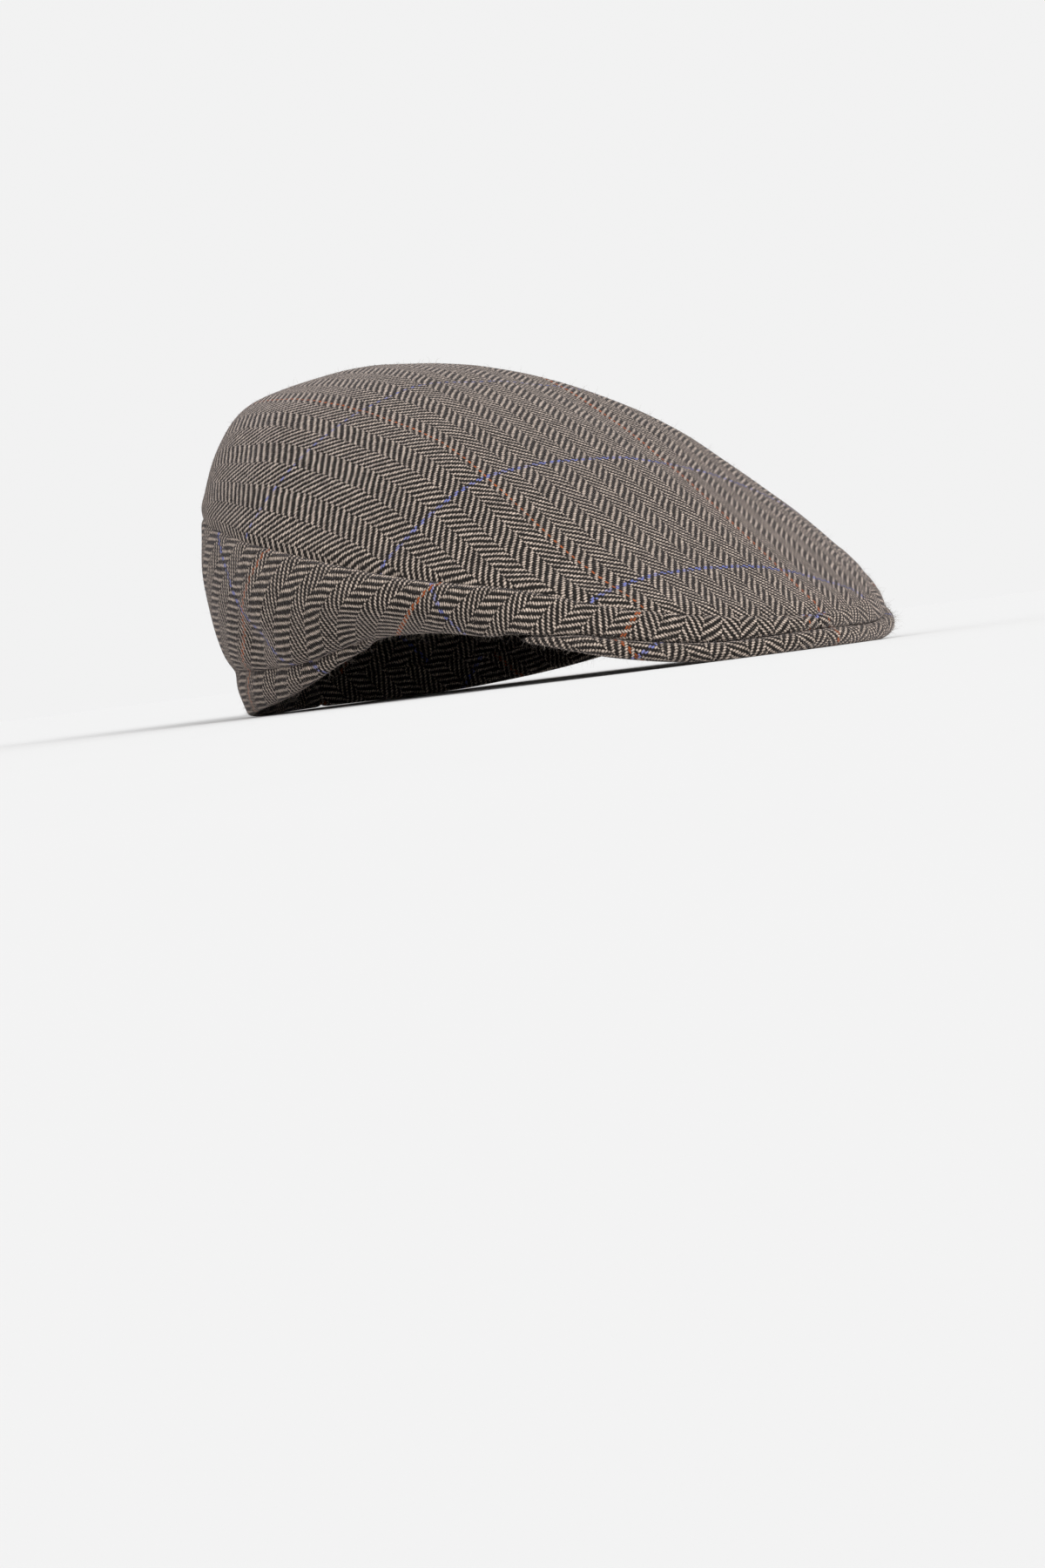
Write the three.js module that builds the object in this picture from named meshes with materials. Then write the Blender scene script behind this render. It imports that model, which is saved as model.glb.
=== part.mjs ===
// A tweed flat cap lying on a flat surface, in millimetres, +Z up and the peak towards -Y.
// The crown is sewn from one top panel and two side panels, which meet in the middle of the
// front and of the back. The stiff peak is sewn under the front of the side panels. At the back
// the side panels puff out over a fold, and below it they hug the head as a plain band.
// The rim and the peak's front edge lie flat on the surface, and the rim arches up between them.
import * as THREE from 'three';

// Driving sizes.
const capLength = 248; // from the back of the rim to the front of the peak
const capWidth = 200; // across the seam of the top panel, at its widest
const capHeight = 121; // from the surface to the highest point of the crown
const clothWall = 2; // tweed with its backing
const hemWall = 4; // the rim, where the cloth is turned in double
const hemRing = 1.85; // from this ring down to the rim the cloth is turned in double
const peakWall = 6.2; // the board of the peak with its cloth cover
const peakLip = 2.5; // how far the peak's edge stands out past the crown above it
const peakDepth = 43; // from the peak's front edge to its inner edge, in the middle
const hornDepth = 11; // the same at the peak's two ends
const peakFlat = 6; // the strip along the peak's front edge that lies flat
const peakRise = 11; // how much higher the inner edge lies than the front edge, in the middle
const sidePuff = 9; // the most that a side panel bulges out past a straight wall
const tuckDepth = 7; // how deep the fold at the back is pulled in
const seamGap = 0.4; // between two sewn pieces

// Mesh steps.
const stepsRound = 32; // along half of the outline, from the middle of the front to the middle of the back
const topRings = 10; // from the highest point of the crown to the seam of the top panel
const sideRings = 18; // from that seam to the rim
const peakRings = 7; // across the peak
const ringCrowding = 1.6; // above 1, these lie closer together at the peak's round edge

// One half of the cap. The rows run from the middle of the front, at station 0, to the middle of
// the back, at station 1. side, along and up are shares of half of capWidth, of capLength and of
// capHeight.
// seam is where the top panel meets the side panel, and round is the conic from the highest point
// of the crown to it: 0 is a parabola, near 1 a quarter of an ellipse, and below 0 a hyperbola.
const seamRows = [
  { side: 0.0, along: -0.483, up: 0.1, round: -1.2 },
  { side: 0.42, along: -0.443, up: 0.13, round: -1.0 },
  { side: 0.68, along: -0.365, up: 0.187, round: -0.2 },
  { side: 0.86, along: -0.258, up: 0.268, round: 0.35 },
  { side: 0.97, along: -0.118, up: 0.332, round: 0.62 },
  { side: 1.0, along: 0.035, up: 0.415, round: 0.8 },
  { side: 0.95, along: 0.215, up: 0.515, round: 0.92 },
  { side: 0.66, along: 0.397, up: 0.61, round: 0.98 },
  { side: 0.0, along: 0.485, up: 0.645, round: 0.99 },
];

// The lower edge: the edge of the peak up to hornStation, and the rim from there on. puff and tuck
// are shares of sidePuff and tuckDepth, and foldAt is how far down the side panel the fold lies.
const rimRows = [
  { side: 0.0, along: -0.5, up: 0.0, puff: 0.06, tuck: 0.0, foldAt: 1.0 },
  { side: 0.44, along: -0.461, up: 0.0, puff: 0.08, tuck: 0.0, foldAt: 1.0 },
  { side: 0.73, along: -0.382, up: 0.042, puff: 0.12, tuck: 0.0, foldAt: 1.0 },
  { side: 0.88, along: -0.272, up: 0.115, puff: 0.3, tuck: 0.0, foldAt: 1.0 },
  { side: 0.9, along: -0.118, up: 0.168, puff: 0.66, tuck: 0.0, foldAt: 1.0 },
  { side: 0.885, along: 0.008, up: 0.16, puff: 0.9, tuck: 0.06, foldAt: 0.92 },
  { side: 0.84, along: 0.18, up: 0.052, puff: 0.85, tuck: 0.9, foldAt: 0.8 },
  { side: 0.6, along: 0.385, up: 0.0, puff: 0.6, tuck: 0.5, foldAt: 0.77 },
  { side: 0.0, along: 0.492, up: 0.0, puff: 0.42, tuck: 0.25, foldAt: 0.78 },
];

const hornStation = 0.375; // where the peak's two ends lie
const hornTaper = 0.1; // over how many stations the peak thins out to its ends
const hornThin = 0.35; // the thickness left at its ends, as a share of peakWall
const apexAlong = 0.284; // where the highest point of the crown lies, as a share of capLength
const hornCurve = 0.6; // how fast the peak narrows to its ends: below 1 it stays deep for longer
const liftCurve = 1.3; // how the peak rises inwards: 1 is straight, and above 1 it starts flat
const edgeFlat = 0.25; // the flat on the peak's edge, as a share of its thickness
const bandPuff = 0.2; // how much the band below the fold bulges, as a share of sidePuff
const foldSharpness = 0.1; // half width of the fold, as a share of the side panel's height

// Soft dents and swellings of the cloth. ring is 0 at the highest point, 1 at the seam and 2 at
// the rim, and depth is a share of sidePuff, out of the cloth where it is negative.
const dentRows = [
  { name: 'shoulder of the back', station: 0.93, ring: 0.64, wide: 0.3, tall: 0.26, depth: -0.75 },
  { name: 'hollow behind the top', station: 0.8, ring: 0.72, wide: 0.12, tall: 0.16, depth: 0.16 },
  { name: 'drag beside the top', station: 0.56, ring: 0.8, wide: 0.07, tall: 0.2, depth: 0.12 },
  { name: 'swell before the fold', station: 0.6, ring: 1.55, wide: 0.07, tall: 0.2, depth: -0.2 },
  { name: 'pucker over the band', station: 0.76, ring: 1.62, wide: 0.03, tall: 0.12, depth: 0.3 },
  { name: 'pucker of the band', station: 0.9, ring: 1.68, wide: 0.03, tall: 0.12, depth: 0.22 },
];

const halfWidth = capWidth / 2;
const smoothStep = (x) => THREE.MathUtils.smoothstep(x, 0, 1);

// A column of a table at any station, on a smooth curve through its rows. The curve runs on
// mirrored past both ends, so the two halves of the cap join smoothly.
function rowValue(rows, column, station) {
  const last = rows.length - 1;
  const place = THREE.MathUtils.clamp(station, 0, 1) * last;
  const first = Math.min(Math.floor(place), last - 1);
  const mirrorSign = column === 'side' ? -1 : 1;
  const at = (row) => {
    if (row < 0) return mirrorSign * rows[-row][column];
    if (row > last) return mirrorSign * rows[2 * last - row][column];
    return rows[row][column];
  };
  const [a, b, c, d] = [first - 1, first, first + 1, first + 2].map(at);
  const x = place - first;
  return b + 0.5 * x * (c - a + x * (2 * a - 5 * b + 4 * c - d + x * (3 * (b - c) + d - a)));
}

function pointOf(rows, station) {
  return new THREE.Vector3(
    rowValue(rows, 'side', station) * halfWidth,
    rowValue(rows, 'along', station) * capLength,
    rowValue(rows, 'up', station) * capHeight,
  );
}

// The horizontal direction that points out of the cap at a station of the lower edge.
function outwardAt(station) {
  const small = 0.01;
  const before = pointOf(rimRows, Math.max(0, station - small));
  const after = pointOf(rimRows, Math.min(1, station + small));
  if (station <= 0) return new THREE.Vector3(0, -1, 0);
  if (station >= 1) return new THREE.Vector3(0, 1, 0);
  return new THREE.Vector3(after.y - before.y, before.x - after.x, 0).normalize();
}

// The peak's thickness, which thins out towards its two ends.
function peakThickness(station) {
  const share = smoothStep((hornStation - station) / hornTaper);
  return peakWall * (hornThin + (1 - hornThin) * share);
}

// How far the peak reaches inwards from its edge: the most in the middle, the least at its ends.
const middleShare = (station) => Math.cos((Math.PI / 2) * Math.min(1, station / hornStation));

function peakReach(station) {
  return THREE.MathUtils.lerp(hornDepth, peakDepth, middleShare(station) ** hornCurve);
}

// A point on the peak, inwards from its edge. face is 1 on top and -1 underneath.
function peakPoint(station, inwards, face) {
  const thick = peakThickness(station);
  const depth = peakReach(station);
  const risen = THREE.MathUtils.clamp((inwards - peakFlat) / (depth - peakFlat), 0, 1);
  const lift = peakRise * middleShare(station) * risen ** liftCurve;
  const fromRound = Math.max(0, 1 - inwards / (thick / 2));
  const swell = Math.max(edgeFlat, Math.sqrt(1 - fromRound * fromRound));
  const point = pointOf(rimRows, station).addScaledVector(outwardAt(station), -inwards);
  point.z = Math.max(0, point.z + lift + (thick / 2) * (1 + face * swell));
  return point;
}

// Where the side panel ends, inset from its outer skin: on the peak in front, and at the rim
// behind it.
function panelEnd(station, inset) {
  const onPeak = smoothStep((hornStation - station) / hornTaper);
  const inwards = peakLip * onPeak + inset;
  const point = pointOf(rimRows, station).addScaledVector(outwardAt(station), -inwards);
  const pastRound = Math.max(inwards, peakThickness(station) / 2);
  const rest = peakPoint(station, pastRound, 1).z + seamGap;
  const isPeak = 1 - smoothStep((station - hornStation) / (hornTaper / 2));
  point.z = THREE.MathUtils.lerp(point.z, rest, isPeak);
  return point;
}

// Where the top panel meets the side panel, on the outer skin or inset from it.
function seamPoint(station, inset) {
  return pointOf(seamRows, station)
    .addScaledVector(outwardAt(station), -inset)
    .add(new THREE.Vector3(0, 0, -inset));
}

// From the highest point of the crown (ring 0) to the seam (ring 1), on a conic.
function topPoint(station, ring, inset) {
  const apex = new THREE.Vector3(0, apexAlong * capLength, capHeight - inset);
  const seam = seamPoint(station, inset);
  const round = rowValue(seamRows, 'round', station);
  const root = Math.sqrt(Math.abs(round));
  const even = round > 0
    ? Math.sin(ring * Math.asin(root)) / root
    : Math.sinh(ring * Math.asinh(root)) / root;
  const drop = (1 - Math.sqrt(1 - round * even * even)) / (1 - Math.sqrt(1 - round));
  return new THREE.Vector3(
    THREE.MathUtils.lerp(apex.x, seam.x, even),
    THREE.MathUtils.lerp(apex.y, seam.y, even),
    THREE.MathUtils.lerp(apex.z, seam.z, drop),
  );
}

// From the seam (down 0) to the lower end (down 1): a puffed wall, the fold, and the band below it.
function sidePoint(station, down, inset) {
  const foldAt = rowValue(rimRows, 'foldAt', station);
  const puff = rowValue(rimRows, 'puff', station) * sidePuff;
  const tuck = rowValue(rimRows, 'tuck', station) * tuckDepth;
  const band = bandPuff * sidePuff * smoothStep((1 - foldAt) / 0.2);
  const bulge = down < foldAt
    ? puff * Math.sin((Math.PI * down) / foldAt)
    : band * Math.sin((Math.PI * (down - foldAt)) / Math.max(1 - foldAt, 0.01));
  const fold = tuck * Math.exp(-(((down - foldAt) / foldSharpness) ** 2)) * smoothStep((1 - down) / 0.12);
  return seamPoint(station, inset)
    .lerp(panelEnd(station, inset), down)
    .addScaledVector(outwardAt(station), bulge - fold);
}

// How far the dents push the cloth in at a place on the crown. They fade out at the highest point.
function dentDepth(station, ring) {
  const share = dentRows.reduce((sum, dent) => {
    const across = (station - dent.station) / dent.wide;
    const down = (ring - dent.ring) / dent.tall;
    return sum + dent.depth * Math.exp(-across * across - down * down);
  }, 0);
  return share * sidePuff * smoothStep(ring / 0.3);
}

// Rings 0 to 1 are the top panel and rings 1 to 2 the side panel. At the rim the cloth is turned in
// double, so there the inset of the inner skin grows.
function crownPoint(station, ring, isInner) {
  const isRim = smoothStep((station - hornStation) / hornTaper);
  const hem = smoothStep((ring - hemRing) / (2 - hemRing)) * isRim;
  const inset = isInner ? THREE.MathUtils.lerp(clothWall, hemWall, hem) : 0;
  const point = ring <= 1 ? topPoint(station, ring, inset) : sidePoint(station, ring - 1, inset);
  const isTop = smoothStep((1.15 - ring) / 0.3);
  const push = outwardAt(station).multiplyScalar(1 - isTop).add(new THREE.Vector3(0, 0, isTop));
  return point.addScaledVector(push, -dentDepth(station, ring));
}

// Two matching grids of points, one on each side of a wall, made into one closed body. Columns that
// shrink to one point leave no face.
function slabGeometry(outer, inner, wrapsRound = false) {
  const columns = outer.length;
  const rows = outer[0].length;
  const positions = [];
  const indices = [];
  const numberOf = new Map();
  const vertex = (point) => {
    const key = [point.x, point.y, point.z].map((value) => value.toFixed(3)).join();
    if (!numberOf.has(key)) {
      numberOf.set(key, positions.length / 3);
      positions.push(point.x, point.y, point.z);
    }
    return numberOf.get(key);
  };
  const triangle = (a, b, c) => {
    const [i, j, k] = [vertex(a), vertex(b), vertex(c)];
    if (i !== j && j !== k && k !== i) indices.push(i, j, k);
  };
  const quad = (a, b, c, d) => {
    triangle(a, b, c);
    triangle(a, c, d);
  };
  const spans = wrapsRound ? columns : columns - 1;
  for (let i = 0; i < spans; i += 1) {
    const n = (i + 1) % columns;
    for (let j = 0; j < rows - 1; j += 1) {
      quad(outer[i][j], outer[i][j + 1], outer[n][j + 1], outer[n][j]);
      quad(inner[i][j], inner[n][j], inner[n][j + 1], inner[i][j + 1]);
    }
    quad(outer[i][rows - 1], inner[i][rows - 1], inner[n][rows - 1], outer[n][rows - 1]);
    quad(outer[i][0], outer[n][0], inner[n][0], inner[i][0]);
  }
  if (!wrapsRound) {
    for (let j = 0; j < rows - 1; j += 1) {
      quad(outer[0][j], inner[0][j], inner[0][j + 1], outer[0][j + 1]);
      const e = columns - 1;
      quad(outer[e][j], outer[e][j + 1], inner[e][j + 1], inner[e][j]);
    }
  }
  const geometry = new THREE.BufferGeometry();
  geometry.setAttribute('position', new THREE.Float32BufferAttribute(positions, 3));
  geometry.setIndex(indices);
  geometry.computeVertexNormals();
  return geometry;
}

const mirrored = (grid) => grid.map((line) => line.map((p) => new THREE.Vector3(-p.x, p.y, p.z)));

// A half of the crown between two rings, station by station from the front to the back.
function crownGrid(rings, isInner) {
  const grid = [];
  for (let i = 0; i <= stepsRound; i += 1) {
    grid.push(rings.map((ring) => crownPoint(i / stepsRound, ring, isInner)));
  }
  return grid;
}

// The top panel: the whole disc inside the seam, both halves in one piece.
function topPanel() {
  const rings = [];
  for (let j = 0; j <= topRings; j += 1) rings.push(j / topRings);
  const whole = (grid) => grid.concat(mirrored(grid).slice(1, -1).reverse());
  return slabGeometry(whole(crownGrid(rings, false)), whole(crownGrid(rings, true)), true);
}

// One side panel, on the +X side, from the middle of the front to the middle of the back.
function sidePanel() {
  const rings = [];
  for (let j = 0; j <= sideRings; j += 1) rings.push(1 + j / sideRings);
  const trimmed = (grid) => grid.map((line) => {
    line[0].lerp(line[1], seamGap / line[0].distanceTo(line[1]));
    return line.map((p) => new THREE.Vector3(Math.max(p.x, seamGap / 2), p.y, Math.max(p.z, 0)));
  });
  return { outer: trimmed(crownGrid(rings, false)), inner: trimmed(crownGrid(rings, true)) };
}

// The peak: a curved board, round along its outer edge, whose inner edge follows the forehead.
function peakGrid(face) {
  const grid = [];
  const steps = Math.round(stepsRound * hornStation);
  for (let i = -steps; i <= steps; i += 1) {
    const station = (Math.abs(i) / steps) * hornStation;
    const line = [];
    for (let j = 0; j <= peakRings; j += 1) {
      const point = peakPoint(station, peakReach(station) * (j / peakRings) ** ringCrowding, face);
      point.x *= Math.sign(i);
      line.push(point);
    }
    grid.push(line);
  }
  return grid;
}

const tweed = new THREE.MeshStandardMaterial({ color: 0x5d5853, roughness: 0.95, metalness: 0 });

function piece(name, geometry) {
  const mesh = new THREE.Mesh(geometry, tweed.clone());
  mesh.name = name;
  return mesh;
}

const side = sidePanel();
const cap = new THREE.Group();
cap.name = 'flat_cap';
cap.add(
  piece('top_panel', topPanel()),
  piece('side_panel_left', slabGeometry(side.outer, side.inner)),
  piece('side_panel_right', slabGeometry(mirrored(side.inner), mirrored(side.outer))),
  piece('peak', slabGeometry(peakGrid(-1), peakGrid(1))),
);

// The origin is under the middle of the cap's bounding box, on the surface it lies on.
const middle = new THREE.Box3().setFromObject(cap).getCenter(new THREE.Vector3());
cap.children.forEach((mesh) => mesh.geometry.translate(0, -middle.y, 0));

export default cap;
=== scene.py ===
import math
import random

import bpy
import numpy as np
from mathutils import Matrix, Vector, noise


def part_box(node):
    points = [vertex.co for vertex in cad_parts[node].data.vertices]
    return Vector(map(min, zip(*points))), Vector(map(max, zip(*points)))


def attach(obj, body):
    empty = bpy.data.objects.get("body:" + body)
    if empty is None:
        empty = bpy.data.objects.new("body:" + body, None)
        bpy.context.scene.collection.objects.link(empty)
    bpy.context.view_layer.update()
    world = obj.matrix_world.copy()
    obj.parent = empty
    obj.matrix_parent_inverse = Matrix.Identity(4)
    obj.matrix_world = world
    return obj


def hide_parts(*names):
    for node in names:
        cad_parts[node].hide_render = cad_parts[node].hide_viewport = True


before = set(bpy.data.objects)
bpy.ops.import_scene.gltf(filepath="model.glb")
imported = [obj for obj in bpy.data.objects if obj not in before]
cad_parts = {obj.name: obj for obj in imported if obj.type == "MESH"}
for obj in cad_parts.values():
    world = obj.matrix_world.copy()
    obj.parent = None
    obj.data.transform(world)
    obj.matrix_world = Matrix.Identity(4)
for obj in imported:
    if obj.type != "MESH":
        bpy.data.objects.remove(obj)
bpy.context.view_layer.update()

# The cap's form: lengths are in metres and the rest are shares. In the rows, side, along and up are
# shares of half the width, of the length and of the height, from the middle of the front to the
# middle of the back.
capForm = {
    "length": 0.248,
    "width": 0.2,
    "height": 0.121,
    "apexAlong": 0.284,
    "sidePuff": 0.009,
    "tuckDepth": 0.0075,
    "foldSharpness": 0.075,
    "foldOverhang": 0.0034,
    "foldFade": 0.12,
    "foldAtFade": 0.16,
    "puffCurve": 0.85,
    "seamGap": 0.0004,
    "hornStation": 0.375,
    "hornTaper": 0.1,
    "peakWall": 0.0062,
    "peakThin": 0.35,
    "peakLip": 0.0025,
    "peakDepth": 0.043,
    "hornDepth": 0.011,
    "peakFlat": 0.006,
    "peakRise": 0.011,
    "hornCurve": 0.6,
    "liftCurve": 1.3,
    "dentFade": 0.3,
    "topEnd": 1.15,
    "topBlend": 0.3,
}
seamRows = {
    "side": [0.0, 0.42, 0.68, 0.86, 0.97, 1.0, 0.95, 0.66, 0.0],
    "along": [-0.483, -0.443, -0.365, -0.258, -0.118, 0.035, 0.215, 0.397, 0.485],
    "up": [0.1, 0.13, 0.187, 0.268, 0.332, 0.415, 0.515, 0.61, 0.645],
    "round": [-1.2, -1.0, -0.2, 0.35, 0.62, 0.8, 0.92, 0.98, 0.99],
}
rimRows = {
    "side": [0.0, 0.44, 0.73, 0.88, 0.9, 0.885, 0.84, 0.6, 0.0],
    "along": [-0.5, -0.461, -0.382, -0.272, -0.118, 0.008, 0.18, 0.385, 0.492],
    "up": [0.0, 0.0, 0.042, 0.115, 0.168, 0.16, 0.052, 0.0, 0.0],
    "puff": [0.06, 0.08, 0.12, 0.3, 0.66, 0.9, 0.85, 0.6, 0.42],
    "tuck": [0.0, 0.0, 0.0, 0.0, 0.0, 0.6, 0.8, 0.24, 0.16],
    "foldAt": [1.0, 1.0, 1.0, 1.0, 1.0, 0.92, 0.8, 0.77, 0.78],
    "overhang": [0.0, 0.0, 0.0, 0.0, 0.0, 0.8, 1.15, 0.15, 0.0],
}
# Soft dents and swells. ring is 0 at the top, 1 at the seam and 2 at the rim, and depth is a share
# of sidePuff.
dents = [
    {"station": 0.93, "ring": 0.64, "wide": 0.3, "tall": 0.26, "depth": -0.75},
    {"station": 0.8, "ring": 0.72, "wide": 0.12, "tall": 0.16, "depth": 0.16},
    {"station": 0.56, "ring": 0.8, "wide": 0.07, "tall": 0.2, "depth": 0.12},
    {"station": 0.6, "ring": 1.55, "wide": 0.07, "tall": 0.2, "depth": -0.2},
    {"station": 0.76, "ring": 1.62, "wide": 0.03, "tall": 0.12, "depth": 0.3},
    {"station": 0.9, "ring": 1.68, "wide": 0.03, "tall": 0.12, "depth": 0.22},
]


def smoothStep(x):
    x = np.clip(x, 0, 1)
    return x * x * (3 - 2 * x)


def rowValue(rows, column, station):
    values = np.array(rows[column])
    turn = -1 if column == "side" else 1
    values = np.concatenate([[turn * values[1]], values, [turn * values[-2]]])
    last = len(values) - 3
    place = np.clip(station, 0, 1) * last
    first = np.minimum(np.floor(place).astype(int), last - 1)
    a, b, c, d = (values[first + k] for k in range(4))
    x = place - first
    return b + 0.5 * x * (c - a + x * (2 * a - 5 * b + 4 * c - d + x * (3 * (b - c) + d - a)))


def pointOf(rows, station):
    return np.stack([
        rowValue(rows, "side", station) * capForm["width"] / 2,
        rowValue(rows, "along", station) * capForm["length"],
        rowValue(rows, "up", station) * capForm["height"],
    ], -1)


def outwardAt(station):
    ahead = pointOf(rimRows, np.minimum(1, station + 0.01))
    behind = pointOf(rimRows, np.maximum(0, station - 0.01))
    out = np.stack([ahead[..., 1] - behind[..., 1], behind[..., 0] - ahead[..., 0], 0 * station], -1)
    out /= np.linalg.norm(out, axis=-1, keepdims=True)
    out = np.where((station <= 0)[..., None], [0.0, -1.0, 0.0], out)
    return np.where((station >= 1)[..., None], [0.0, 1.0, 0.0], out)


def peakThickness(station):
    share = smoothStep((capForm["hornStation"] - station) / capForm["hornTaper"])
    return capForm["peakWall"] * (capForm["peakThin"] + (1 - capForm["peakThin"]) * share)


def middleShare(station):
    return np.cos(np.pi / 2 * np.minimum(1, station / capForm["hornStation"]))


def peakReach(station):
    share = np.maximum(middleShare(station), 0) ** capForm["hornCurve"]
    return capForm["hornDepth"] + (capForm["peakDepth"] - capForm["hornDepth"]) * share


def peakPlace(station, inwards, face):
    thick = peakThickness(station)
    risen = np.clip((inwards - capForm["peakFlat"]) / (peakReach(station) - capForm["peakFlat"]), 0, 1)
    lift = capForm["peakRise"] * middleShare(station) * risen ** capForm["liftCurve"]
    fromRound = np.clip(1 - inwards / (thick / 2), 0, 1)
    swell = np.sqrt(1 - fromRound * fromRound)
    place = pointOf(rimRows, station) - outwardAt(station) * inwards[..., None]
    place[..., 2] = np.maximum(0, place[..., 2] + lift + thick / 2 * (1 + face * swell))
    return place


def panelEnd(station):
    onPeak = smoothStep((capForm["hornStation"] - station) / capForm["hornTaper"])
    inwards = capForm["peakLip"] * onPeak
    place = pointOf(rimRows, station) - outwardAt(station) * inwards[..., None]
    pastRound = np.maximum(inwards, peakThickness(station) / 2)
    rest = peakPlace(station, pastRound, 1)[..., 2] + capForm["seamGap"]
    isPeak = 1 - smoothStep((station - capForm["hornStation"]) / (capForm["hornTaper"] / 2))
    place[..., 2] = place[..., 2] * (1 - isPeak) + rest * isPeak
    return place


def topPlace(station, ring):
    apex = np.array([0, capForm["apexAlong"] * capForm["length"], capForm["height"]])
    curve = rowValue(seamRows, "round", station)
    root = np.sqrt(np.abs(curve))
    even = np.where(
        curve > 0,
        np.sin(ring * np.arcsin(np.minimum(root, 1))) / root,
        np.sinh(ring * np.arcsinh(root)) / root,
    )
    drop = (1 - np.sqrt(1 - curve * even * even)) / (1 - np.sqrt(1 - curve))
    share = np.stack([even, even, drop], -1)
    return apex * (1 - share) + pointOf(seamRows, station) * share


def sidePlace(station, down):
    foldAt = rowValue(rimRows, "foldAt", station)
    puff = rowValue(rimRows, "puff", station) * capForm["sidePuff"]
    tuck = rowValue(rimRows, "tuck", station) * capForm["tuckDepth"]
    bulge = puff * np.maximum(np.sin(np.pi * down), 0) ** capForm["puffCurve"]
    fromFold = (down - foldAt) / capForm["foldSharpness"]
    tapered = smoothStep((1 - down) / capForm["foldFade"]) * smoothStep((1 - foldAt) / capForm["foldAtFade"])
    fold = tuck * np.exp(-fromFold ** 2) * tapered
    overhang = rowValue(rimRows, "overhang", station) * capForm["foldOverhang"]
    lift = 2.33 * overhang * fromFold * np.exp(-fromFold ** 2) * tapered  # 2.33 brings its top to one
    upper, lower = pointOf(seamRows, station), panelEnd(station)
    place = upper + (lower - upper) * down[..., None] + outwardAt(station) * (bulge - fold)[..., None]
    place[..., 2] += lift
    return place


def crownPlace(station, ring):
    station, ring = np.broadcast_arrays(np.asarray(station, float), np.asarray(ring, float))
    above = topPlace(station, np.minimum(ring, 1))
    below = sidePlace(station, np.clip(ring - 1, 0, 1))
    place = np.where((ring <= 1)[..., None], above, below)
    depth = 0
    for dent in dents:
        across = (station - dent["station"]) / dent["wide"]
        along = (ring - dent["ring"]) / dent["tall"]
        depth = depth + dent["depth"] * np.exp(-across ** 2 - along ** 2)
    depth = depth * capForm["sidePuff"] * smoothStep(ring / capForm["dentFade"])
    isTop = smoothStep((capForm["topEnd"] - ring) / capForm["topBlend"])
    push = outwardAt(station) * (1 - isTop)[..., None]
    push[..., 2] += isTop
    return place - push * depth[..., None]


# The CAD model stands with its origin under the middle of its box, and this table's own origin
# lies a little off it.
formShift = float(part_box("peak")[0][1]) + capForm["length"] / 2


def softWaves(points, seed, size, depth):
    flat = points.reshape(-1, 3)
    values = [noise.noise(Vector(p) / size + Vector((seed, 2.3 * seed, 0.7 * seed))) for p in flat]
    return np.array(values).reshape(points.shape[:-1]) * depth


def allWaves(points, waves):
    return sum(softWaves(points, wave["seed"], wave["size"], wave["depth"]) for wave in waves)


def gridNormals(points):
    normal = np.cross(np.gradient(points, axis=0), np.gradient(points, axis=1))
    return normal / np.maximum(np.linalg.norm(normal, axis=-1, keepdims=True), 1e-12)


def deselectAll():
    if bpy.context.object and bpy.context.object.mode != "OBJECT":
        bpy.ops.object.mode_set(mode="OBJECT")
    bpy.ops.object.select_all(action="DESELECT")


def clothGrid(name, points, uvs, outside):
    # a flat grid whose vertices are then moved onto the cloth
    columns, rows = points.shape[:2]
    deselectAll()
    bpy.ops.mesh.primitive_grid_add(
        x_subdivisions=columns - 1, y_subdivisions=rows - 1, size=2, location=(0, 0, 0)
    )
    piece = bpy.context.object
    piece.name = name
    piece.data.name = name
    mesh = piece.data
    places = np.empty(len(mesh.vertices) * 3)
    mesh.vertices.foreach_get("co", places)
    places = places.reshape(-1, 3)
    column = np.rint((places[:, 0] + 1) / 2 * (columns - 1)).astype(int)
    row = np.rint((places[:, 1] + 1) / 2 * (rows - 1)).astype(int)
    mesh.vertices.foreach_set("co", points[column, row].ravel())
    corners = np.empty(len(mesh.loops), dtype=np.int32)
    mesh.loops.foreach_get("vertex_index", corners)
    mesh.uv_layers.active.name = "clothUV"
    mesh.uv_layers.active.data.foreach_set("uv", uvs[column[corners], row[corners]].ravel())
    mesh.update()
    middle = mesh.polygons[len(mesh.polygons) // 2]
    if middle.normal.dot(middle.center - Vector(outside)) < 0:
        mesh.flip_normals()
    return piece


def thicken(piece, wall):
    deselectAll()
    piece.select_set(True)
    bpy.context.view_layer.objects.active = piece
    solid = piece.modifiers.new("wall", "SOLIDIFY")
    solid.thickness = wall
    solid.offset = -1
    solid.use_rim = True
    bpy.ops.object.modifier_apply(modifier=solid.name)
    bpy.ops.object.shade_smooth_by_angle(angle=math.radians(50))


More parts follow.
